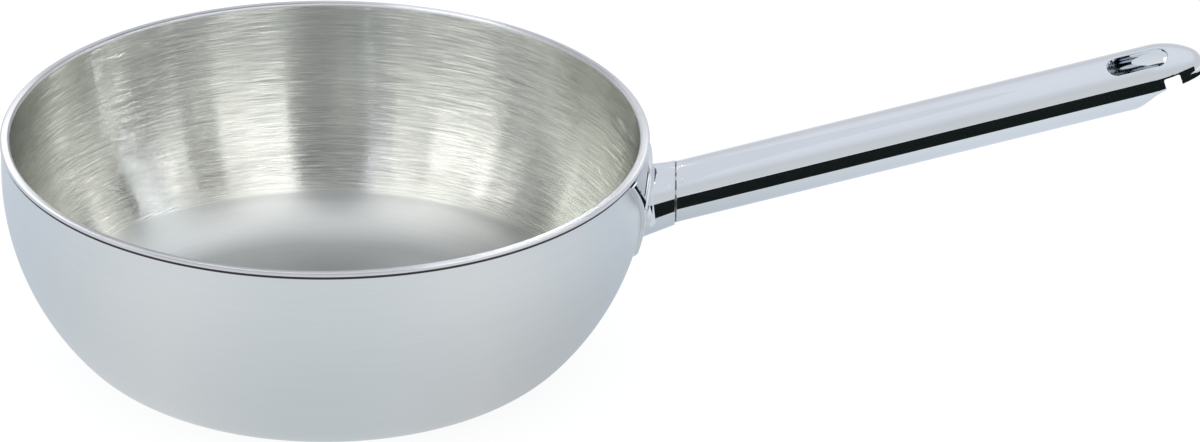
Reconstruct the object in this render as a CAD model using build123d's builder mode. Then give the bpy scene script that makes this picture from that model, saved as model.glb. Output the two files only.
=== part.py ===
from build123d import *
import os
from math import atan2, cos, degrees, hypot, radians, sin, sqrt

# A saucier pan in millimetres, +Z up: a clad bowl, a bracket welded on its wall and a hollow tube handle.
# The origin is the middle of the base's underside, and the handle points along +X.

# The bowl's outer face: a flat base, a corner arc, a side arc and an upright wall.
pan_height = 92.0
wall_radius = 122.5
base_radius = 67.3
upright_height = 12.5
corner_sweep = 48.0

# The five plies of the clad sheet, from the outside in.
outer_skin_thickness = 0.6
lower_bond_thickness = 0.25
core_thickness = 1.6
upper_bond_thickness = 0.25
cooking_skin_thickness = 0.5

# The rim: the cooking skin rolls out over the ends of the other plies.
lip_overhang = 0.5
lip_depth = 1.7
lip_top_round = 1.1
lip_under_round = 0.4

# The bracket under the handle, a pressed plate on the wall. Depths are below the rim.
foot_thickness = 1.5
foot_top_depth = 2.0
foot_arm_outer = 42.0
foot_arm_inner = 36.7
foot_crotch_half_width = 25.0
foot_crotch_depth = 14.3
foot_pad_half_width = 13.0
foot_pad_top_depth = 9.0
foot_bend_half_width = 26.6
foot_bend_depth = 18.6
foot_waist_half_width = 17.2
foot_waist_depth = 31.0
foot_shoulder_half_width = 13.4
foot_shoulder_depth = 43.0
foot_depth = 48.0
foot_tail_round = 5.0
foot_edge_round = 0.5

# The spot welds between the bracket and the wall.
weld_spot_diameter = 3.6
weld_spot_ring_radius = 8.5
weld_spot_count = 6
weld_spot_skin_depth = 0.3
weld_spot_foot_depth = 0.7

# The handle: a round tube with a closed nose, seen from the wall outwards along its own axis.
handle_diameter = 22.6
handle_wall = 1.5
handle_reach = 217.0
handle_rise = 15.4
handle_drop = 26.0
nose_length = 19.5
nose_tip_round = 7.6

# The neck between the bracket and the tube, which meet at an upright seam.
seam_standoff = 10.3
neck_step = 0.4
neck_flare = 7.0
seam_weld_width = 0.9
seam_weld_depth = 0.8

# The sleeve that lines up the neck and the tube.
spigot_wall = 1.2
spigot_clearance = 0.1
spigot_foot_gap = 1.5
spigot_length = 32.0

# The underside of the handle's end is scooped away, with a notch across it. Distances are from the tip.
scoop_length = 31.0
scoop_flat_length = 17.5
scoop_level = 2.9
scoop_round = 14.0
notch_distance = 9.0
notch_width = 6.3
notch_roof = 1.5
notch_round = 0.8

# The hanging slot, turned from the crown towards the side of the handle.
slot_distance = 12.0
slot_length = 23.2
slot_width = 8.1
slot_roll = 30.0
slot_lip_round = 0.5

# The cup that seals the hollow tube behind the slot.
cup_distance = 36.6
cup_thickness = 1.2
cup_skirt = 6.0
cup_bend_round = 1.6

# Cuts run this far past what they cut.
overrun = 4.0

os.makedirs("parts", exist_ok=True)

corner_sine = sin(radians(corner_sweep))
corner_cosine = cos(radians(corner_sweep))
curve_height = pan_height - upright_height
curve_width = wall_radius - base_radius
side_radius = (curve_height * corner_sine - curve_width * (1 - corner_cosine)) / (
    corner_sine * corner_cosine - (1 - corner_sine) * (1 - corner_cosine)
)
corner_radius = (curve_width - side_radius * (1 - corner_sine)) / corner_sine

lower_bond_inset = outer_skin_thickness
core_inset = lower_bond_inset + lower_bond_thickness
upper_bond_inset = core_inset + core_thickness
cooking_skin_inset = upper_bond_inset + upper_bond_thickness
sheet_thickness = cooking_skin_inset + cooking_skin_thickness
ply_top = pan_height - lip_depth

handle_radius = handle_diameter / 2
bore_radius = handle_radius - handle_wall
rise_sine = sin(radians(handle_rise))
rise_cosine = cos(radians(handle_rise))
handle_start = Vector(wall_radius, 0, pan_height - handle_drop)
handle_direction = Vector(rise_cosine, 0, rise_sine)
handle_plane = Plane(handle_start, x_dir=handle_direction, z_dir=(0, -1, 0))
handle_axis = Axis(handle_start, handle_direction)
nose_start = handle_reach - nose_length
tip_centre = handle_reach - nose_tip_round
nose_side_round = ((nose_length - nose_tip_round) ** 2 + handle_radius**2 - nose_tip_round**2) / (
    2 * (handle_radius - nose_tip_round)
)
nose_side_level = handle_radius - nose_side_round
nose_side_sweep = atan2(tip_centre - nose_start, -nose_side_level)
seam_plane = Plane.YZ.offset(wall_radius + seam_standoff)


def bowl_face(inset, top):
    """The bowl's outer face moved inwards by inset, from the axis up to the height top."""
    base = Line((0, inset), (base_radius, inset))
    corner = JernArc(base @ 1, base % 1, corner_radius - inset, corner_sweep)
    side = JernArc(corner @ 1, corner % 1, side_radius - inset, 90 - corner_sweep)
    return Line(side @ 1, (wall_radius - inset, top))


def bowl_layer(inset, thickness, top):
    """One layer of the sheet, or one on its outside, from the axis up to the height top."""
    with BuildPart() as layer:
        with BuildSketch(Plane.XZ):
            with BuildLine():
                outside = bowl_face(inset, top)
                inside = bowl_face(inset + thickness, top)
                Line(outside @ 1, inside @ 1)
                Line((0, inset), (0, inset + thickness))
            make_face()
        revolve(axis=Axis.Z)
    return layer


# Six spot welds join the bracket to the outer skin, in a ring round the handle's axis.
weld_layer = bowl_layer(-weld_spot_foot_depth, weld_spot_foot_depth + weld_spot_skin_depth, ply_top)
with BuildPart() as spot_welds:
    add(weld_layer.part)
    with BuildSketch(Plane.YZ.offset(base_radius)):
        with Locations((0, handle_start.Z)):
            with PolarLocations(weld_spot_ring_radius, weld_spot_count):
                Circle(weld_spot_diameter / 2)
    extrude(amount=wall_radius, mode=Mode.INTERSECT)
spot_welds.part.label = "spot_welds"
export_step(spot_welds.part, "parts/spot_welds.step")

# The outer skin of magnetic steel meets the hob, and is dimpled where the bracket is welded on.
induction_skin = bowl_layer(0, outer_skin_thickness, ply_top)
with induction_skin:
    add(spot_welds.part, mode=Mode.SUBTRACT)
induction_skin.part.label = "induction_skin"
export_step(induction_skin.part, "parts/induction_skin.step")

# The bonding plies and the core between them spread the heat up the wall.
inner_plies = [
    ("lower_bond_ply", lower_bond_inset, lower_bond_thickness),
    ("heat_core", core_inset, core_thickness),
    ("upper_bond_ply", upper_bond_inset, upper_bond_thickness),
]
for ply_name, ply_inset, ply_thickness in inner_plies:
    ply = bowl_layer(ply_inset, ply_thickness, ply_top)
    ply.part.label = ply_name
    export_step(ply.part, f"parts/{ply_name}.step")

# The cooking skin is the bowl's inside, and its lip closes the edge of the sheet.
with BuildPart() as cooking_skin:
    with BuildSketch(Plane.XZ) as skin_section:
        with BuildLine():
            back = bowl_face(cooking_skin_inset, ply_top)
            front = bowl_face(sheet_thickness, pan_height)
            Polyline(
                back @ 1,
                (wall_radius + lip_overhang, ply_top),
                (wall_radius + lip_overhang, pan_height),
                front @ 1,
            )
            Line((0, cooking_skin_inset), (0, sheet_thickness))
        make_face()
        lip_under_corner = skin_section.vertices().group_by(Axis.X)[-1].sort_by(Axis.Y)[0]
        fillet(lip_under_corner, lip_under_round)
        fillet(skin_section.vertices().group_by(Axis.Y)[-1], lip_top_round)
    revolve(axis=Axis.Z)
cooking_skin.part.label = "cooking_skin"
export_step(cooking_skin.part, "parts/cooking_skin.step")


def on_foot_face(edge):
    """True for an edge of the bracket's outline that lies on its outer face."""
    middle = edge.position_at(0.5)
    from_axis = hypot(middle.X, middle.Y)
    proud = from_axis - wall_radius
    if middle.Z < curve_height:
        proud = hypot(from_axis - wall_radius + side_radius, middle.Z - curve_height) - side_radius
    upright_start = abs(middle.Z - curve_height) < foot_edge_round and edge.geom_type == GeomType.CIRCLE
    return proud > foot_thickness / 2 and not upright_start


# The bracket follows the wall and takes the spot welds in its back. It has two arms up to the rim,
# a pad behind the neck and a tail.
foot_top = pan_height - foot_top_depth
foot_pad_top = pan_height - foot_pad_top_depth
foot_end = pan_height - foot_depth
foot_layer = bowl_layer(-foot_thickness, foot_thickness, foot_top)
with BuildPart() as handle_foot:
    add(foot_layer.part)
    with BuildSketch(Plane.YZ.offset(base_radius)):
        with BuildLine():
            arm_top = Line((foot_arm_outer, foot_top), (foot_arm_inner, foot_top))
            crotch = (foot_crotch_half_width, pan_height - foot_crotch_depth)
            Polyline(arm_top @ 1, crotch, (foot_pad_half_width, foot_pad_top), (0, foot_pad_top))
            flare = ThreePointArc(
                arm_top @ 0,
                (foot_bend_half_width, pan_height - foot_bend_depth),
                (foot_waist_half_width, pan_height - foot_waist_depth),
            )
            Polyline(
                flare @ 1,
                (foot_shoulder_half_width, pan_height - foot_shoulder_depth),
                (foot_tail_round, foot_end),
                (0, foot_end),
            )
            mirror(about=Plane.YZ)
        make_face()
    extrude(amount=wall_radius, mode=Mode.INTERSECT)
    outline_edges = handle_foot.edges(Select.LAST).filter_by(on_foot_face)
    fillet(outline_edges, foot_edge_round)
    add(spot_welds.part, mode=Mode.SUBTRACT)
handle_foot.part.label = "handle_foot"
export_step(handle_foot.part, "parts/handle_foot.step")


def seam_ring(outside):
    """The ring round the seam that the weld fills, out to the radius outside."""
    with BuildPart() as ring:
        with BuildSketch(handle_plane):
            with Locations((seam_standoff, outside)):
                depth = outside - handle_radius + seam_weld_depth
                Rectangle(2 * handle_diameter, depth, align=(Align.CENTER, Align.MAX))
        revolve(axis=handle_axis)
        split(bisect_by=seam_plane.offset(-seam_weld_width / 2), keep=Keep.TOP)
        split(bisect_by=seam_plane.offset(seam_weld_width / 2), keep=Keep.BOTTOM)
    return ring


# The seam's weld is ground flush with the tube.
seam_weld = seam_ring(handle_radius)
seam_weld.part.label = "seam_weld"
export_step(seam_weld.part, "parts/seam_weld.step")

seam_cut = seam_ring(handle_radius + neck_step + overrun)

# What the bracket's outer face encloses, which the neck's back end is cut to.
with BuildPart() as foot_envelope:
    with BuildSketch(Plane.XZ):
        with BuildLine():
            foot_face = bowl_face(-foot_thickness, pan_height + overrun)
            Polyline(foot_face @ 1, (0, pan_height + overrun), (0, -foot_thickness))
        make_face()
    revolve(axis=Axis.Z)

# The neck is a flared collar, cut to sit on the bracket and faced off upright at the seam.
with BuildPart() as neck:
    with BuildSketch(handle_plane):
        seam_s = seam_standoff / rise_cosine
        neck_growth = sin(radians(neck_flare)) / cos(radians(neck_flare))
        seam_radius = handle_radius + neck_step
        back_s = -handle_radius
        front_s = seam_s + handle_radius
        with BuildLine():
            Polyline(
                (back_s, bore_radius),
                (back_s, seam_radius + (seam_s - back_s) * neck_growth),
                (seam_s, seam_radius),
                (front_s, seam_radius),
                (front_s, bore_radius),
                close=True,
            )
        make_face()
    revolve(axis=handle_axis)
    split(bisect_by=seam_plane, keep=Keep.BOTTOM)
    add(foot_envelope.part, mode=Mode.SUBTRACT)
    add(seam_cut.part, mode=Mode.SUBTRACT)
neck.part.label = "neck"
export_step(neck.part, "parts/neck.step")

# The spigot is a plain sleeve inside the neck and the tube.
spigot_radius = bore_radius - spigot_clearance
spigot_start = (foot_thickness + spigot_foot_gap + bore_radius * rise_sine) / rise_cosine
with BuildPart() as spigot:
    with BuildSketch(handle_plane):
        with Locations((spigot_start, spigot_radius)):
            Rectangle(spigot_length, spigot_wall, align=(Align.MIN, Align.MAX))
    revolve(axis=handle_axis)
spigot.part.label = "spigot"
export_step(spigot.part, "parts/spigot.step")


def on_tube_skin(edge):
    """True for an edge of the slot's mouth, on the outside of the tube or its nose."""
    middle = edge.position_at(0.5) - handle_start
    along = middle.dot(handle_direction)
    from_axis = (middle - handle_direction * along).length
    past_nose_start = max(0, along - nose_start)
    skin_radius = nose_side_level + sqrt(nose_side_round**2 - past_nose_start**2)
    return from_axis > skin_radius - handle_wall / 2 and edge.geom_type != GeomType.CIRCLE


def nose_profile(inset):
    """The nose's side arc and tip arc, moved inwards by inset, as the first and last point that they join."""
    sweep = degrees(nose_side_sweep)
    side = JernArc((nose_start, handle_radius - inset), (1, 0), nose_side_round - inset, -sweep)
    tip = JernArc(side @ 1, side % 1, nose_tip_round - inset, sweep - 90)
    return side @ 0, tip @ 1


# The handle tube, from the upright seam to the closed nose.
with BuildPart() as handle_tube:
    with BuildSketch(handle_plane):
        with BuildLine():
            outer_shoulder, outer_tip = nose_profile(0)
            inner_shoulder, inner_tip = nose_profile(handle_wall)
            Polyline(outer_shoulder, (0, handle_radius), (0, bore_radius), inner_shoulder)
            Line(outer_tip, inner_tip)
        make_face()
    revolve(axis=handle_axis)
    split(bisect_by=seam_plane, keep=Keep.TOP)
    add(seam_cut.part, mode=Mode.SUBTRACT)

    # The scoop takes the underside away up to just below the axis.
    with BuildSketch(handle_plane) as scoop_section:
        with BuildLine():
            Polyline(
                (handle_reach - scoop_length, -handle_radius),
                (handle_reach - scoop_flat_length, -scoop_level),
                (handle_reach + overrun, -scoop_level),
                (handle_reach + overrun, -handle_radius - overrun),
                (handle_reach - scoop_length, -handle_radius - overrun),
                close=True,
            )
        make_face()
        scoop_corner = scoop_section.vertices().group_by(Axis.Y)[-1].sort_by(Axis.X)[0]
        fillet(scoop_corner, scoop_round)
    extrude(amount=handle_radius + overrun, both=True, mode=Mode.SUBTRACT)

    # The notch across both side walls, which leaves a claw at the tip.
    with BuildSketch(handle_plane) as notch_section:
        with Locations((handle_reach - notch_distance, notch_roof)):
            Rectangle(notch_width, notch_roof + handle_radius, align=(Align.MAX, Align.MAX))
        fillet(notch_section.vertices().group_by(Axis.Y)[-1], notch_round)
    extrude(amount=handle_radius + overrun, both=True, mode=Mode.SUBTRACT)

    # The hanging slot goes in through the near side of the crown.
    slot_direction = handle_plane.y_dir * cos(radians(slot_roll)) + handle_plane.z_dir * sin(radians(slot_roll))
    slot_plane = Plane(handle_start, x_dir=handle_direction, z_dir=slot_direction)
    with BuildSketch(slot_plane):
        with Locations((handle_reach - slot_distance - slot_length / 2, 0)):
            SlotOverall(slot_length, slot_width)
    extrude(amount=handle_radius + overrun, mode=Mode.SUBTRACT)
    slot_mouth = handle_tube.edges(Select.LAST).filter_by(on_tube_skin)
    fillet(slot_mouth, slot_lip_round)
handle_tube.part.label = "handle_tube"
export_step(handle_tube.part, "parts/handle_tube.step")

# The sealing cup is pressed into the bore behind the slot, and its skirt points back down the tube.
cup_radius = bore_radius
cup_face = handle_reach - cup_distance
with BuildPart() as sealing_cup:
    with BuildSketch(handle_plane) as cup_section:
        with BuildLine():
            Polyline(
                (cup_face, 0),
                (cup_face, cup_radius),
                (cup_face - cup_skirt, cup_radius),
                (cup_face - cup_skirt, cup_radius - cup_thickness),
                (cup_face - cup_thickness, cup_radius - cup_thickness),
                (cup_face - cup_thickness, 0),
                close=True,
            )
        make_face()
        cup_bend = cup_section.vertices().group_by(Axis.X)[-1].sort_by(Axis.Y)[-1]
        fillet(cup_bend, cup_bend_round)
    revolve(axis=handle_axis)
sealing_cup.part.label = "sealing_cup"
export_step(sealing_cup.part, "parts/sealing_cup.step")

print("corner radius", corner_radius, "side radius", side_radius, "sheet", sheet_thickness)
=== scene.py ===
# %% [markdown]
# # A saucier pan, dressed for its portrait
#
# The pan is a round-sided bowl pressed from clad steel, with a hollow tube handle welded on a bracket.
# The CAD model gives every piece its place and size. This script builds smooth skins over it and gives each
# metal its own finish: brushed inside, satin outside, polished on the rim and the handle.

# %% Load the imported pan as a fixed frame
import math

import bmesh
import bpy
from mathutils import Matrix, Vector


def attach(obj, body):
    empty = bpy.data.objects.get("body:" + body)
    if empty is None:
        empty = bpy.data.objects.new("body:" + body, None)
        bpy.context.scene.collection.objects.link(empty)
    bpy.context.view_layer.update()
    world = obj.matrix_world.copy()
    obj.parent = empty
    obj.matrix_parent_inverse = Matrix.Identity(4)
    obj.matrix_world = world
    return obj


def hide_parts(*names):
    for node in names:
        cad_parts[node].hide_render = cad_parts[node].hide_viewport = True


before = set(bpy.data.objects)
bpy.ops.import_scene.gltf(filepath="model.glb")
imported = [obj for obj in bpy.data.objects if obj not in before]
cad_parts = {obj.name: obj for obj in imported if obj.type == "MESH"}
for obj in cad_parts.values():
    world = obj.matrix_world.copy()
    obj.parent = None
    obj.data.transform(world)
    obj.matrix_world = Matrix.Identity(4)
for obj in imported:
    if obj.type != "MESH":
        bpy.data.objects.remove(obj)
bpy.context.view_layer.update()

MM = 0.001

# %% [markdown]
# ## The camera
#
# A catalogue photograph of a pan is taken from far away with a long lens, so that the rim stays a clean
# ellipse. The camera could be placed by eye, but the ellipse's height over its width gives the angle of
# view, and its width gives the magnification, so both were fitted and are written as numbers. About eight
# metres is the farthest from which tools that turn the camera round the pan still reach it.

# %% A long lens, 25 degrees above the rim
view_angle = math.radians(25.2)
camera_roll = math.radians(0.18)
camera_distance = 7.9
pixels_per_metre = 2644.6
image_width = 1200
sensor_width = 36.0
aim_right = 104.15 * MM
aim_up = -32.2 * MM
rim_height = 92.0 * MM

look = Vector((0, math.cos(view_angle), -math.sin(view_angle)))
image_up = Vector((0, math.sin(view_angle), math.cos(view_angle)))
camera_data = bpy.data.cameras.new("portrait_camera")
camera_data.sensor_width = sensor_width
camera_data.lens = pixels_per_metre * camera_distance / image_width * sensor_width
camera_data.clip_start = 0.1
camera_data.clip_end = 50.0
camera = bpy.data.objects.new("portrait_camera", camera_data)
bpy.context.scene.collection.objects.link(camera)
camera.location = Vector((aim_right, 0, rim_height)) + image_up * aim_up - look * camera_distance
tilt = Matrix.Rotation(math.radians(90) - view_angle, 3, "X") @ Matrix.Rotation(camera_roll, 3, "Z")
camera.rotation_euler = tilt.to_euler()
bpy.context.scene.camera = camera
print("lens", round(camera_data.lens, 1), "mm")

# %% [markdown]
# ## Node helpers
#
# Every finish below is a node tree built in code. A few small helpers keep that readable: the first adds a
# node and links what is handed to its inputs, and the others do arithmetic on whatever they are given.


# %% Add a node, and link or set its inputs
def add_node(tree, kind, inputs=None, **settings):
    made = tree.nodes.new(kind)
    for name, value in settings.items():
        setattr(made, name, value)
    for key, value in (inputs or {}).items():
        if isinstance(value, bpy.types.NodeSocket):
            tree.links.new(value, made.inputs[key])
        else:
            made.inputs[key].default_value = value
    return made


def maths(tree, operation, *values):
    return add_node(tree, "ShaderNodeMath", dict(enumerate(values)), operation=operation).outputs[0]


def vector_maths(tree, operation, *values):
    return add_node(tree, "ShaderNodeVectorMath", dict(enumerate(values)), operation=operation).outputs[0]


def scale_vector(tree, vector, factor):
    return add_node(tree, "ShaderNodeVectorMath", {0: vector, "Scale": factor}, operation="SCALE").outputs[0]


def remap(tree, value, low, high, new_low, new_high):
    return add_node(tree, "ShaderNodeMapRange", {0: value, 1: low, 2: high, 3: new_low, 4: new_high}).outputs[0]


# %% Colour ramps by level, from -1 to 1
def fill_ramp(ramp, stops):
    elements = ramp.color_ramp.elements
    for place, (level, colour) in enumerate(stops):
        stop = elements[place] if place < 2 else elements.new(1.0)
        stop.position = level * 0.5 + 0.5
        stop.color = (*colour, 1)


# %% [markdown]
# ## The studio
#
# Polished steel has no colour of its own: it shows the room. The room is a white tent, a little cooler
# overhead and a little darker low down on the camera's side. It is drawn on the world by the height that a
# reflection looks at, and the camera itself sees only a plain white backdrop.

# %% The tent
tent_tones = [  # height of the direction, from straight down to straight up, and colour
    (-1.00, (0.90, 0.92, 0.95)),
    (0.00, (0.80, 0.81, 0.82)),
    (0.45, (0.78, 0.79, 0.81)),
    (0.75, (0.92, 0.95, 1.00)),
    (1.00, (0.96, 0.98, 1.03)),
]

world = bpy.data.worlds.new("white_tent")
world.use_nodes = True
bpy.context.scene.world = world
tent = world.node_tree
tent.nodes.clear()
direction = add_node(tent, "ShaderNodeTexCoord").outputs["Generated"]
height = add_node(tent, "ShaderNodeSeparateXYZ", {0: direction}).outputs["Z"]
share = maths(tent, "MULTIPLY_ADD", height, 0.5, 0.5)
ramp = add_node(tent, "ShaderNodeValToRGB", {0: share})
fill_ramp(ramp, tent_tones)
seen = add_node(tent, "ShaderNodeLightPath").outputs["Is Camera Ray"]
shown = add_node(
    tent, "ShaderNodeMix", {0: seen, 6: ramp.outputs["Color"], 7: (1.0, 1.0, 1.0, 1.0)}, data_type="RGBA"
).outputs[2]
backdrop = add_node(tent, "ShaderNodeBackground", {"Color": shown, "Strength": 1.0})
add_node(tent, "ShaderNodeOutputWorld", {"Surface": backdrop.outputs[0]})
bpy.context.scene.view_settings.view_transform = "Standard"
print("tent with", len(tent_tones), "tones")

# %% [markdown]
# ## The floor and the cards
#
# The pan stands on a seamless pale sweep, lit from under a little so that no hard shadow falls on it.
# Lamps would show as hard shapes in the steel, so only the glowing tent, floor and cards light the scene.
# Above the rim hang curved cards, bright and dark, and a black card hangs beside the handle. Only
# reflections see them: they throw no shadow and the camera looks through them. They are studio equipment.


# %% Helpers for the studio's pieces
def mesh_object(name, points, faces):
    mesh = bpy.data.meshes.new(name)
    mesh.from_pydata([tuple(p) for p in points], [], faces)
    mesh.update()
    made = bpy.data.objects.new(name, mesh)
    bpy.context.scene.collection.objects.link(made)
    return made


def studio_material(name, colour, glow):
    made = bpy.data.materials.new(name)
    made.use_nodes = True
    made.node_tree.nodes.clear()
    shader = add_node(made.node_tree, "ShaderNodeBsdfPrincipled", {
        "Base Color": (*colour, 1.0), "Roughness": 1.0, "Specular IOR Level": 0.0,
        "Emission Color": (*glow, 1.0), "Emission Strength": 1.0,
    })
    add_node(made.node_tree, "ShaderNodeOutputMaterial", {"Surface": shader.outputs[0]})
    return made


def only_in_reflections(card):
    card.visible_camera = False
    card.visible_diffuse = False
    card.visible_shadow = False
    card.visible_transmission = False


# %% The sweep
floor_reach = 5.0
disc_steps = 96
sweep_colour, sweep_glow = (0.22, 0.22, 0.22), (0.86, 0.86, 0.86)


def disc(name, reach, height):
    turns = [math.tau * k / disc_steps for k in range(disc_steps)]
    points = [(reach * math.cos(turn), reach * math.sin(turn), height) for turn in turns]
    return mesh_object(name, points, [tuple(range(disc_steps))])


floor = disc("studio_floor", floor_reach, 0)
floor.data.materials.append(studio_material("pale_sweep", sweep_colour, sweep_glow))
print("floor", floor_reach, "m")

# %% [markdown]
# ## What reflections find on the floor
#
# The satin outside of the bowl looks down at the floor. An even white floor would make it flat and grey, so
# a thin disc that only reflections see lies on the sweep. It is cooler behind the pan than in front, and a
# little darker close to the base, most of all on the right: a painted shade, where the pan shadows the floor.

# %% The tone that reflections find on the sweep
tint_reach = 0.9
tint_height = 0.0004
near_reach, far_reach = 0.08, 0.26
left_end, right_end = 0.3, 0.9
left_shade, right_shade = 0.86, 0.66
tint_stops = [  # towards the camera is 1, sideways 0, behind -1
    (-1.00, (0.76, 0.82, 0.91)),
    (-0.20, (0.80, 0.86, 0.93)),
    (0.30, (0.90, 0.94, 0.96)),
    (0.75, (1.00, 1.01, 1.01)),
    (1.00, (0.88, 0.92, 0.93)),
]

sweep_tint = disc("sweep_tint", tint_reach, tint_height)
tint_material = studio_material("sweep_tint", (0.0, 0.0, 0.0), (1.0, 1.0, 1.0))
tree = tint_material.node_tree
place = add_node(tree, "ShaderNodeTexCoord").outputs["Object"]
bearing = add_node(tree, "ShaderNodeSeparateXYZ", {0: vector_maths(tree, "NORMALIZE", place)}).outputs
ramp = add_node(tree, "ShaderNodeValToRGB", {0: maths(tree, "MULTIPLY_ADD", bearing["Y"], -0.5, 0.5)})
fill_ramp(ramp, tint_stops)
# painted shade: the tint darkens close to the base, most of all on the right
shade = remap(tree, bearing["X"], left_end, right_end, left_shade, right_shade)
distance = add_node(tree, "ShaderNodeVectorMath", {0: place}, operation="LENGTH").outputs["Value"]
near = remap(tree, distance, near_reach, far_reach, shade, 1.0)
shaded = scale_vector(tree, ramp.outputs["Color"], near)
tree.links.new(shaded, tree.nodes["Principled BSDF"].inputs["Emission Color"])
sweep_tint.data.materials.append(tint_material)
only_in_reflections(sweep_tint)
print("tint", tint_reach, "m,", len(tint_stops), "tones")

# %% [markdown]
# ## The ring of cards
#
# The wall inside works like a curved mirror, so each part of it looks at another part of the ring. A bright
# card gives a bright band and a dark card a dark one. Every card has three heights, because the upper wall
# looks at the ring's foot and the lower wall at its top. The ring could be a picture wrapped round the pan,
# but a table of a few cards shows which card makes which band.

# %% The cards above the rim
card_ring = 0.128
card_levels = [0.101, 0.160, 0.250, 0.460]  # metres above the ground
card_bottom, card_top = card_levels[0], card_levels[-1]
cream, lilac = (1.0, 1.0, 0.98), (0.95, 0.95, 1.08)
cards = [  # name, from and to in degrees right of the camera, brightness low, middle and high, and tint
    ("front_right", 0, 20, (0.24, 0.0, 0.52), cream),
    ("right_key", 20, 60, (2.30, 0.10, 3.00), cream),
    ("right_side", 60, 80, (0.30, 0.0, 1.80), cream),
    ("right_fill", 80, 100, (2.25, 0.0, 1.90), cream),
    ("right_low", 100, 121, (1.00, 0.20, 2.80), cream),
    ("back_dim", 121, 131, (0.20, 0.20, 0.50), cream),
    ("back_gap", 131, 150, (0.0, 0.15, 0.10), cream),
    ("right_back", 150, 170, (2.70, 0.20, 0.60), cream),
    ("far_back", 170, 182, (0.40, 0.0, 1.00), cream),
    ("left_back", 182, 200, (0.0, 0.0, 1.22), cream),
    ("left_gap", 200, 220, (0.0, 0.0, 1.50), cream),
    ("left_high", 220, 240, (0.60, 0.0, 2.60), cream),
    ("left_fill", 240, 260, (1.95, 0.15, 2.45), cream),
    ("left_key", 260, 300, (2.85, 0.15, 2.10), cream),
    ("left_side", 300, 323, (1.10, 0.70, 2.30), cream),
    ("lilac_card", 323, 334, (0.0, 1.20, 0.60), lilac),
    ("front_left", 334, 360, (0.35, 0.22, 0.15), cream),
]
card_steps = 12


def curved_card(name, start, end, bottom, top, colour, radius=card_ring, low_radius=None, steps=card_steps):
    """A card bent round the Z axis, from start to end in degrees right of the camera."""
    points, faces = [], []
    for k in range(steps + 1):
        turn = math.radians(start + (end - start) * k / steps)
        for reach, height in ((low_radius or radius, bottom), (radius, top)):
            points.append((reach * math.sin(turn), -reach * math.cos(turn), height))
    for k in range(steps):
        faces.append((2 * k, 2 * k + 1, 2 * k + 3, 2 * k + 2))
    card = mesh_object(name, points, faces)
    card.data.materials.append(studio_material(name, (0.0, 0.0, 0.0), colour))
    only_in_reflections(card)


for name, start, end, glows, tint in cards:
    for level, glow in enumerate(glows):
        colour = [glow * part for part in tint]
        curved_card(f"{name}_{level}", start, end, card_levels[level], card_levels[level + 1], colour)
print(len(cards), "cards at", len(card_levels) - 1, "heights")

# %% [markdown]
# ## The ring's back, its skirt and a narrow lamp
#
# The handle stands outside the ring and would mirror the bright cards. A pale back hides them, and below it
# a skirt and a hem close the gap down to the rim. The lamp is a slim bright strip in front of a dark card.
# It draws the thin streak on the left of the wall.

# %% The back, the skirt, the hem and the lamp
back_tone = (0.86, 0.88, 0.92)
back_ring = card_ring + 0.002
skirt_bottom, hem_bottom, hem_radius = 0.0936, 0.0895, 0.1235
hem_start, hem_end = 55, 125
full_circle = {"start": 0, "end": 360, "steps": 96}
curved_card("ring_back", bottom=card_bottom, top=card_top, colour=back_tone, radius=back_ring, **full_circle)
curved_card("rim_skirt", bottom=skirt_bottom, top=card_bottom, colour=back_tone, radius=back_ring, **full_circle)
curved_card(
    "rim_hem", hem_start, hem_end, hem_bottom, skirt_bottom, back_tone, radius=back_ring, low_radius=hem_radius
)
lamp_start, lamp_end = 139.0, 141.0
lamp_bottom, lamp_top = 0.165, 0.235
lamp_ring = card_ring - 0.001
lamp_glow = (60.0, 63.0, 68.0)
curved_card("spot_lamp", lamp_start, lamp_end, lamp_bottom, lamp_top, lamp_glow, radius=lamp_ring)
print("lamp", round((lamp_end - lamp_start) / 360 * math.tau * lamp_ring * 1000, 1), "mm wide")

# %% [markdown]
# ## The handle's flag
#
# A photographer draws a dark line along a polished tube by hanging a narrow black card beside it. The card
# follows the tube's slope. A pale card at its back keeps it black from the handle's side only, and a small
# pale one at its end hides it from the bracket. A last black card, beyond the tip, darkens the nose.

# %% The flag, its pale face, its end and the tip's flag
flag_offset = -0.0165
face_offset = flag_offset - 0.0006
end_offset = -0.0118
flag_left, flag_right = 0.1242, 0.352
flag_above, flag_below = 0.0021, 0.0087
lean_above, lean_below = 0.0007, 0.0023
end_height = 0.0160
end_lean_above, end_lean_below = 0.0010, 0.0020
handle_root = Vector((0.1225, 0.0, 0.066))
handle_slope = math.tan(math.radians(15.4))
tip_flag_place = 0.350
tip_flag_near, tip_flag_far = -0.030, 0.015
tip_flag_bottom, tip_flag_top = 0.060, 0.114
black, pale = (0.010, 0.014, 0.013), (0.84, 0.88, 0.93)


def handle_height(x):
    return handle_root.z + (x - handle_root.x) * handle_slope


def flat_card(name, corners, glow):
    card = mesh_object(name, corners, [(0, 1, 2, 3)])
    card.data.materials.append(studio_material(name, (0.0, 0.0, 0.0), glow))
    only_in_reflections(card)


def flag_corners(offset):
    return [
        (flag_left - lean_above, offset, handle_height(flag_left) + flag_above),
        (flag_left + lean_below, offset, handle_height(flag_left) - flag_below),
        (flag_right + lean_below, offset, handle_height(flag_right) - flag_below),
        (flag_right - lean_above, offset, handle_height(flag_right) + flag_above),
    ]


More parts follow.
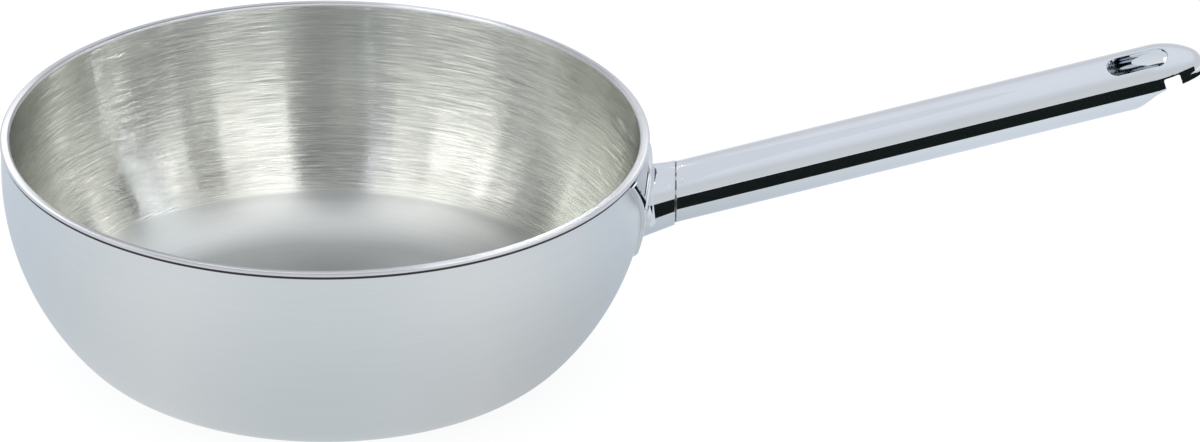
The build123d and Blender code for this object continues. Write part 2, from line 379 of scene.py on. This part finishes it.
flat_card("handle_flag", flag_corners(flag_offset), black)
flat_card("handle_flag_face", flag_corners(face_offset), pale)
end_top, end_bottom = handle_height(flag_left) + end_height, handle_height(flag_left) - end_height
flat_card("flag_end", [
    (flag_left - end_lean_above, flag_offset, end_top), (flag_left - end_lean_above, end_offset, end_top),
    (flag_left + end_lean_below, end_offset, end_bottom), (flag_left + end_lean_below, flag_offset, end_bottom),
], pale)
flat_card("tip_flag", [
    (tip_flag_place, tip_flag_near, tip_flag_bottom), (tip_flag_place, tip_flag_far, tip_flag_bottom),
    (tip_flag_place, tip_flag_far, tip_flag_top), (tip_flag_place, tip_flag_near, tip_flag_top),
], black)
print("flag from", flag_left, "to", flag_right)

# %% [markdown]
# ## The bowl's section
#
# The bowl is turned, so one section says everything: a flat base, a tight corner, a large side arc and a
# short upright wall. The arcs meet without a kink, which fixes the side's radius and the corner's radius
# from the height and the width. Each ply is the same section moved inwards.

# %% Points along the bowl's section, moved inwards by inset
wall_radius = 122.5
base_radius = 67.3
pan_height = 92.0
upright_height = 12.5
corner_sweep = math.radians(48)
sheet_thickness = 3.2

rise = pan_height - upright_height
run = wall_radius - base_radius
sine, cosine = math.sin(corner_sweep), math.cos(corner_sweep)
side_radius = (rise * sine - run * (1 - cosine)) / (sine * cosine - (1 - sine) * (1 - cosine))
corner_radius = (run - side_radius * (1 - sine)) / sine


def bowl_section(inset, top, base_steps=28, corner_steps=30, side_steps=44, upright_steps=6):
    points = [(base_radius * k / base_steps, inset) for k in range(base_steps)]
    for k in range(corner_steps):
        sweep = corner_sweep * k / corner_steps
        reach = corner_radius - inset
        points.append((base_radius + reach * math.sin(sweep), corner_radius - reach * math.cos(sweep)))
    for k in range(side_steps):
        sweep = corner_sweep + (math.pi / 2 - corner_sweep) * k / side_steps
        reach = side_radius - inset
        points.append((wall_radius - side_radius + reach * math.sin(sweep), rise - reach * math.cos(sweep)))
    points += [(wall_radius - inset, rise + (top - rise) * k / upright_steps) for k in range(upright_steps + 1)]
    return points


def round_corner(centre, radius, start, end, steps=8):
    angles = [math.radians(start + (end - start) * k / steps) for k in range(steps + 1)]
    return [(centre[0] + radius * math.cos(a), centre[1] + radius * math.sin(a)) for a in angles]


print("corner radius", round(corner_radius, 2), "side radius", round(side_radius, 2))

# %% [markdown]
# ## A tree that spins a section
#
# A lathe turns a section round an axis. Blender has a Screw modifier for that, but Geometry Nodes keep the
# sizes as named inputs and also let each point remember how far along the section it lies, which the
# brushed finish needs. The section is swept round a tiny circle, its ends on the axis are merged shut,
# and the result is made real and given its finish.

# %% The spin tree
hub_radius = 1.0 * MM
merge_distance = 0.002 * MM


def make_spin_tree():
    tree = bpy.data.node_groups.new("spin_section", "GeometryNodeTree")
    sockets = tree.interface
    sockets.new_socket("Section", in_out="INPUT", socket_type="NodeSocketGeometry")
    sockets.new_socket("Steps Around", in_out="INPUT", socket_type="NodeSocketInt")
    sockets.new_socket("Hub Radius", in_out="INPUT", socket_type="NodeSocketFloat")
    sockets.new_socket("Merge Distance", in_out="INPUT", socket_type="NodeSocketFloat")
    sockets.new_socket("Finish", in_out="INPUT", socket_type="NodeSocketMaterial")
    sockets.new_socket("Turned Piece", in_out="OUTPUT", socket_type="NodeSocketGeometry")
    given = add_node(tree, "NodeGroupInput").outputs
    section = add_node(tree, "GeometryNodeMeshToCurve", {"Mesh": given["Section"]}).outputs["Curve"]
    along = add_node(tree, "GeometryNodeSplineParameter").outputs["Length"]
    marked = add_node(
        tree, "GeometryNodeStoreNamedAttribute", {"Geometry": section, "Name": "along_section", "Value": along},
        data_type="FLOAT", domain="POINT",
    ).outputs[0]
    circle = add_node(tree, "GeometryNodeCurvePrimitiveCircle", {
        "Resolution": given["Steps Around"], "Radius": given["Hub Radius"]
    }).outputs["Curve"]
    swept = add_node(tree, "GeometryNodeCurveToMesh", {"Curve": circle, "Profile Curve": marked}).outputs[0]
    merged = add_node(
        tree, "GeometryNodeMergeByDistance", {"Geometry": swept, "Distance": given["Merge Distance"]}
    ).outputs[0]
    smooth = add_node(tree, "GeometryNodeSetShadeSmooth", {"Geometry": merged, "Shade Smooth": True}).outputs[0]
    real = add_node(tree, "GeometryNodeRealizeInstances", {"Geometry": smooth}).outputs[0]
    dressed = add_node(
        tree, "GeometryNodeSetMaterial", {"Geometry": real, "Material": given["Finish"]}
    ).outputs[0]
    add_node(tree, "NodeGroupOutput", {"Turned Piece": dressed})
    return tree


spin_tree = make_spin_tree()
print("spin tree:", len(spin_tree.nodes), "nodes")


# %% Run a tree on a piece and keep the result
def modifier_input(tree, name):
    return next(s.identifier for s in tree.interface.items_tree if s.in_out == "INPUT" and s.name == name)


def bake_tree(piece, tree, settings):
    """Run the tree on piece with these inputs, and put the result in place of piece's own mesh."""
    modifier = piece.modifiers.new("build", "NODES")
    modifier.node_group = tree
    for name, value in settings.items():
        modifier[modifier_input(tree, name)] = value
    piece.update_tag()
    bpy.context.view_layer.update()
    graph = bpy.context.evaluated_depsgraph_get()
    result = bpy.data.meshes.new_from_object(piece.evaluated_get(graph))
    piece.modifiers.remove(modifier)
    raw = piece.data
    piece.data = result
    bpy.data.meshes.remove(raw)
    result.name = piece.name


# %% Turn a section into a closed, outward-facing piece
def face_outwards(piece):
    work = bmesh.new()
    work.from_mesh(piece.data)
    bmesh.ops.recalc_face_normals(work, faces=work.faces)
    open_edges = sum(1 for edge in work.edges if not edge.is_manifold)
    if work.calc_volume(signed=True) < 0:
        bmesh.ops.reverse_faces(work, faces=work.faces)
    volume = work.calc_volume(signed=True)
    work.to_mesh(piece.data)
    work.free()
    return open_edges, volume


def turned_piece(name, section, finish, steps_around=360, sharp_above=35.0):
    """Spin a section of (radius, height) points in millimetres round the Z axis."""
    points = [(radius * MM - hub_radius, height * MM, 0) for radius, height in section]
    mesh = bpy.data.meshes.new(name)
    edges = [(k, k + 1) for k in range(len(points) - 1)]
    mesh.from_pydata(points, edges, [])
    piece = bpy.data.objects.new(name, mesh)
    bpy.context.scene.collection.objects.link(piece)
    settings = {
        "Steps Around": steps_around, "Hub Radius": hub_radius, "Merge Distance": merge_distance, "Finish": finish
    }
    bake_tree(piece, spin_tree, settings)
    top = max(vertex.co.z for vertex in piece.data.vertices)
    if abs(top - max(point[1] for point in points)) > MM:  # the sweep can leave the section upside down
        for vertex in piece.data.vertices:
            vertex.co.z = -vertex.co.z
    open_edges, volume = face_outwards(piece)
    piece.data.set_sharp_from_angle(angle=math.radians(sharp_above))
    print(name, len(piece.data.polygons), "faces,", open_edges, "open edges,", round(volume * 1e6, 2), "cm3")
    return piece


# %% [markdown]
# ## Brushed steel inside
#
# The inside is finished on a lathe with an abrasive pad, so its scratches run round the bowl. Scratches
# blur a reflection across themselves and leave it sharp along themselves: that is what draws the upright
# bright and dark bands on the wall. Principled's anisotropy does this once its tangent points across the
# scratches. Lines of noise much finer than a pixel also tilt the surface up and down, most of them slightly
# and a few of them a lot, which carries each band from the rim to the floor.


# %% Where a point of a turned piece lies, from the object's own coordinates
def turned_directions(tree):
    """The place, the directions outward and around, and the distance along the section."""
    place = add_node(tree, "ShaderNodeTexCoord").outputs["Object"]
    parts = add_node(tree, "ShaderNodeSeparateXYZ", {0: place}).outputs
    outward = add_node(tree, "ShaderNodeCombineXYZ", {0: parts["X"], 1: parts["Y"], 2: 0.0}).outputs[0]
    outward = vector_maths(tree, "NORMALIZE", outward)
    around = vector_maths(tree, "CROSS_PRODUCT", (0.0, 0.0, 1.0), outward)
    along = add_node(tree, "ShaderNodeAttribute", attribute_name="along_section").outputs["Fac"]
    return place, outward, around, along


def noise(tree, where, scale, detail, roughness=0.5):
    inputs = {"Vector": where, "Scale": scale, "Detail": detail, "Roughness": roughness}
    return add_node(tree, "ShaderNodeTexNoise", inputs).outputs["Fac"]


def stretched_noise(tree, outward, along, arc, line, detail=2.0, roughness=0.6, offset=0.0):
    """Noise in lines round the axis: arc is their length as a share of the radius, line their width in metres."""
    level = maths(tree, "MULTIPLY_ADD", along, 1 / line, offset)
    flat = scale_vector(tree, outward, 1 / arc)
    lift = add_node(tree, "ShaderNodeCombineXYZ", {2: level}).outputs[0]
    return noise(tree, vector_maths(tree, "ADD", flat, lift), 1.0, detail, roughness)


# %% What every metal finish needs
def bump(tree, relief, strength, depth):
    inputs = {"Height": relief, "Strength": strength, "Distance": depth}
    return add_node(tree, "ShaderNodeBump", inputs).outputs[0]


def metal_shader(tree, colour, roughness, normal=None, tangent=None, anisotropic=0.0):
    inputs = {"Base Color": colour, "Metallic": 1.0, "Roughness": roughness, "Anisotropic": anisotropic}
    if normal is not None:
        inputs["Normal"] = normal
    if tangent is not None:
        inputs["Tangent"] = tangent
    shader = add_node(tree, "ShaderNodeBsdfPrincipled", inputs)
    add_node(tree, "ShaderNodeOutputMaterial", {"Surface": shader.outputs[0]})


def new_finish(name):
    made = bpy.data.materials.new(name)
    made.use_nodes = True
    made.node_tree.nodes.clear()
    return made, made.node_tree


def blend_colours(tree, share, dark, light):
    mix = add_node(tree, "ShaderNodeMix", {0: share, 6: dark, 7: light}, data_type="RGBA")
    return mix.outputs[2]


# %% The inside's scratches
noise_low, noise_high = 0.3, 0.7  # where nearly all of a noise's values lie
brushing_starts, brushing_full = 0.103, 0.114  # metres along the section from the middle of the floor
scratch_depth = 20.0
wobble = 0.004
inside_steel, tree = new_finish("inside_steel")
_, outward, around, along = turned_directions(tree)
flat_normal = add_node(tree, "ShaderNodeNewGeometry").outputs["Normal"]
on_wall = remap(tree, along, brushing_starts, brushing_full, 0.0, 1.0)
hairlines = stretched_noise(tree, outward, along, arc=0.30, line=0.00024)
deep_lines = stretched_noise(tree, outward, along, arc=0.14, line=0.00006, detail=1.0, offset=31.0)
broken_lines = stretched_noise(tree, outward, along, arc=0.12, line=0.00040, detail=1.0, offset=77.0)
patches = stretched_noise(tree, outward, along, arc=0.50, line=0.0060, offset=11.0)
scratch = maths(tree, "SUBTRACT", deep_lines, 0.5)
scratch = maths(tree, "MULTIPLY", scratch, maths(tree, "ABSOLUTE", scratch))  # most are shallow, a few are deep
steepness = maths(tree, "MULTIPLY", scratch, scratch_depth)
tilt_up = scale_vector(tree, vector_maths(tree, "CROSS_PRODUCT", around, flat_normal), steepness)
tilt_round = scale_vector(tree, around, remap(tree, broken_lines, noise_low, noise_high, -wobble, wobble))
tilt = scale_vector(tree, vector_maths(tree, "ADD", tilt_up, tilt_round), on_wall)
normal = vector_maths(tree, "NORMALIZE", vector_maths(tree, "ADD", flat_normal, tilt))
across = vector_maths(tree, "CROSS_PRODUCT", around, normal)

# %% The inside's colour and gloss
patch_share = 0.12
tone_low, tone_high = 0.44, 0.68
dark_brushed, light_brushed = (0.67, 0.68, 0.645, 1), (0.80, 0.81, 0.775, 1)
off_wall_blur = 0.16
tone = remap(tree, maths(tree, "MULTIPLY_ADD", patches, patch_share, hairlines), tone_low, tone_high, 0.0, 1.0)
colour = blend_colours(tree, tone, dark_brushed, light_brushed)
wall_gloss = remap(tree, hairlines, noise_low, noise_high, 0.165, 0.205)
gloss = maths(tree, "MULTIPLY_ADD", maths(tree, "SUBTRACT", 1.0, on_wall), off_wall_blur, wall_gloss)
metal_shader(tree, colour, gloss, normal, across, anisotropic=1.0)
print("inside_steel:", len(tree.nodes), "nodes")

# %% [markdown]
# ## The bowl's floor
#
# A pad on a lathe rubs the floor lightly, so it is duller and more even than the wall. It could take one
# plain grey, but then a hard edge would show where it meets the wall. Its colour, gloss and direction drift
# towards the wall's instead.

# %% The floor's finish
floor_ends, wall_starts = 0.084, 0.104  # metres along the section too
dark_rubbed, light_rubbed = (0.42, 0.44, 0.45, 1), (0.47, 0.485, 0.495, 1)
dark_edge, light_edge = (0.66, 0.68, 0.67, 1), (0.75, 0.765, 0.75, 1)
edge_polish = 0.14
floor_steel, tree = new_finish("floor_steel")
place, outward, around, along = turned_directions(tree)
rings = stretched_noise(tree, outward, along, arc=0.50, line=0.0009, detail=3.0, offset=5.0)
grain = noise(tree, place, 1800.0, 2.0)
relief = maths(tree, "MULTIPLY_ADD", grain, 0.5, rings)
normal = bump(tree, relief, strength=0.15, depth=0.00008)
across = vector_maths(tree, "CROSS_PRODUCT", around, normal)
towards_wall = remap(tree, along, floor_ends, wall_starts, 0.0, 1.0)
rubbed = blend_colours(tree, rings, dark_rubbed, light_rubbed)
edge = blend_colours(tree, rings, dark_edge, light_edge)
colour = blend_colours(tree, towards_wall, rubbed, edge)
rubbed_gloss = remap(tree, grain, noise_low, noise_high, 0.49, 0.55)
gloss = maths(tree, "MULTIPLY_ADD", towards_wall, -edge_polish, rubbed_gloss)
brushed = remap(tree, towards_wall, 0.2, 1.0, 0.0, 1.0)
metal_shader(tree, colour, gloss, normal, across, anisotropic=brushed)
print("floor_steel:", len(tree.nodes), "nodes")

# %% [markdown]
# ## Satin steel outside
#
# The outside is blasted and lightly brushed, so it looks even and soft, with only a breath of grain. A
# plain high roughness would look like paint. Fine grain in the roughness and a very shallow relief keep it
# metal.

# %% The outside's finish
dark_satin, light_satin = (0.62, 0.645, 0.665, 1), (0.66, 0.685, 0.705, 1)
outside_steel, tree = new_finish("outside_steel")
place, outward, around, along = turned_directions(tree)
grain = noise(tree, place, 2400.0, 2.0)
rings = stretched_noise(tree, outward, along, arc=0.30, line=0.0012)
relief = maths(tree, "MULTIPLY_ADD", rings, 0.4, grain)
normal = bump(tree, relief, strength=0.12, depth=0.00006)
across = vector_maths(tree, "CROSS_PRODUCT", around, normal)
colour = blend_colours(tree, rings, dark_satin, light_satin)
gloss = remap(tree, grain, noise_low, noise_high, 0.33, 0.40)
metal_shader(tree, colour, gloss, normal, across, anisotropic=0.45)
print("outside_steel:", len(tree.nodes), "nodes")

# %% [markdown]
# ## Polished steel
#
# The handle, its neck and the bracket are buffed on a cloth wheel, and so is the rim. A buffed tube is
# never a perfect mirror: it keeps a faint waviness that makes its reflections swim a little, and hair
# scratches from handling. Low roughness alone would look computed, so both are drawn as slow and as
# stretched noise.


# %% The polished finish
def polished_finish(name, colour, low_gloss, high_gloss, wave=0.10):
    made, tree = new_finish(name)
    place = add_node(tree, "ShaderNodeTexCoord").outputs["Object"]
    slow = noise(tree, place, 45.0, 1.0)
    stretch = add_node(tree, "ShaderNodeMapping", {"Vector": place, "Scale": (60.0, 900.0, 900.0)}).outputs[0]
    hairs = noise(tree, stretch, 3.0, 3.0)
    relief = maths(tree, "MULTIPLY_ADD", hairs, 0.012, slow)
    normal = bump(tree, relief, strength=wave, depth=0.0006)
    gloss = remap(tree, hairs, 0.35, 0.75, low_gloss, high_gloss)
    tint = blend_colours(tree, slow, (*(c * 0.97 for c in colour), 1), (*colour, 1))
    metal_shader(tree, tint, gloss, normal)
    return made


polished_steel = polished_finish("polished_steel", (0.70, 0.73, 0.77), 0.035, 0.085)
rim_steel = polished_finish("rim_steel", (0.63, 0.64, 0.67), 0.40, 0.48)
# lip_shadow is a painted shadow: a near-black finish for the shade under the rolled lip
lip_shadow = polished_finish("lip_shadow", (0.055, 0.045, 0.05), 0.35, 0.50)
plain_steel = polished_finish("plain_steel", (0.62, 0.63, 0.64), 0.22, 0.34)
weld_metal = polished_finish("weld_metal", (0.70, 0.70, 0.71), 0.14, 0.30)
core_metal = polished_finish("core_metal", (0.80, 0.81, 0.82), 0.25, 0.40)
print("six polished finishes")

# %% [markdown]
# ## The seam's weld
#
# The weld between the neck and the tube is ground almost flush. What shows of it is a fine dark line,
# broken where the grinding reached its bottom. A groove would change the shape, so the finish draws the
# line, by the distance from the weld's middle. The weld's own mesh says where that is.

# %% The seam's finish
line_core, line_edge = 0.00016, 0.00030
weld_tone, gap_tone = (0.66, 0.68, 0.71, 1), (0.03, 0.03, 0.03, 1)
seam_steel, tree = new_finish("seam_steel")
place = add_node(tree, "ShaderNodeTexCoord").outputs["Object"]
beads = noise(tree, place, 420.0, 2.0)
seam_x = [vertex.co.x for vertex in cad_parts["seam_weld"].data.vertices]
seam_middle = (min(seam_x) + max(seam_x)) / 2
place_x = add_node(tree, "ShaderNodeSeparateXYZ", {0: place}).outputs["X"]
off_middle = maths(tree, "ABSOLUTE", maths(tree, "SUBTRACT", place_x, seam_middle))
in_line = remap(tree, off_middle, line_core, line_edge, 1.0, 0.0)
dark_share = maths(tree, "MULTIPLY", in_line, remap(tree, beads, 0.44, 0.58, 1.0, 0.15))
colour = blend_colours(tree, dark_share, weld_tone, gap_tone)
normal = bump(tree, beads, strength=0.5, depth=0.0004)
metal_shader(tree, colour, remap(tree, beads, noise_low, noise_high, 0.28, 0.45), normal)
print("seam at", round(seam_middle / MM, 1), "mm")

# %% [markdown]
# ## The cooking skin
#
# The inside of the bowl and the rolled lip are one thin sheet of stainless steel. The CAD mesh could take
# the finish as it is, but its facets would show in the long reflections, so the sheet is spun from its
# section in finer steps. The lip's faces then take the rim's finish, as the rim is buffed after the inside
# has been brushed, the floor's faces take the floor's, and the lip's underside takes a painted shadow.

# %% Spin the cooking skin
cooking_inset = 2.7
lip_reach = 0.46
ply_top = pan_height - 1.7
lip_top_round = 1.1
lip_under_round = 0.4
floor_margin = 4.6
polish_overlap = 0.1
back_steps = {"base_steps": 10, "corner_steps": 14, "side_steps": 20, "upright_steps": 2}

lip_outside = wall_radius + lip_reach
inside = bowl_section(sheet_thickness, pan_height - lip_top_round)
lip_inner_centre = (wall_radius - sheet_thickness + lip_top_round, pan_height - lip_top_round)
lip = round_corner(lip_inner_centre, lip_top_round, 180, 90)[1:]
lip += round_corner((lip_outside - lip_top_round, pan_height - lip_top_round), lip_top_round, 90, 0)
lip += round_corner((lip_outside - lip_under_round, ply_top + lip_under_round), lip_under_round, 0, -90, 5)
back = bowl_section(cooking_inset, ply_top, **back_steps)
cooking_skin = turned_piece("cooking_skin_spun", inside + lip + back[::-1], inside_steel)
rim_index, floor_index, shadow_index = 1, 2, 3
for finish in (rim_steel, floor_steel, lip_shadow):
    cooking_skin.data.materials.append(finish)
floor_edge = (base_radius + (corner_radius - sheet_thickness) * math.sin(corner_sweep) + floor_margin) * MM
# the lip's underside takes lip_shadow, a painted shadow under the lip's overhang
for face in cooking_skin.data.polygons:
    reach = math.hypot(*face.center[:2])
    if reach > wall_radius * MM and face.center.z < (ply_top + lip_under_round) * MM:
        face.material_index = shadow_index
    elif face.center.z > (pan_height - lip_top_round - polish_overlap) * MM or reach > wall_radius * MM:
        face.material_index = rim_index
    elif reach < floor_edge:
        face.material_index = floor_index
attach(cooking_skin, "root")
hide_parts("cooking_skin")

# %% [markdown]
# ## The outer skin
#
# The outside of the bowl is a second thin sheet, magnetic so that an induction hob can heat it. It is spun
# in the same way. A narrow band of it under the lip is a painted shadow, the shade that the lip's overhang
# casts. A groove would change the shape, so some of the sheet's own faces wear this painted shadow.

# %% Spin the outer skin
outer_thickness = 0.6
shadow_height = 0.80
outside = bowl_section(0, ply_top)
outside_back = bowl_section(outer_thickness, ply_top, **back_steps)
outside.insert(-1, (wall_radius, ply_top - shadow_height))
induction_skin = turned_piece("induction_skin_spun", outside + outside_back[::-1], outside_steel)
# painted shadow: the band of faces just under the lip takes the near-black lip_shadow finish
induction_skin.data.materials.append(lip_shadow)
lip_shadow_index = 1
for face in induction_skin.data.polygons:
    if face.center.z > (ply_top - shadow_height) * MM:
        face.material_index = lip_shadow_index
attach(induction_skin, "root")
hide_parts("induction_skin")

# %% [markdown]
# ## Pieces that keep their CAD shape
#
# The plies between the skins are out of sight, and the small pieces are already right. They keep their
# meshes and only take a finish.

# %% Give the remaining nodes their finishes
finishes = {
    "upper_bond_ply": core_metal,
    "heat_core": core_metal,
    "lower_bond_ply": core_metal,
    "handle_foot": polished_steel,
    "spot_welds": weld_metal,
    "neck": polished_steel,
    "seam_weld": seam_steel,
    "spigot": plain_steel,
    "handle_tube": polished_steel,
    "sealing_cup": plain_steel,
}
for node_name, finish in finishes.items():
    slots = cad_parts[node_name].material_slots
    for slot in slots:
        slot.material = finish
    print(node_name, "wears", finish.name, "on", len(slots), "slot")
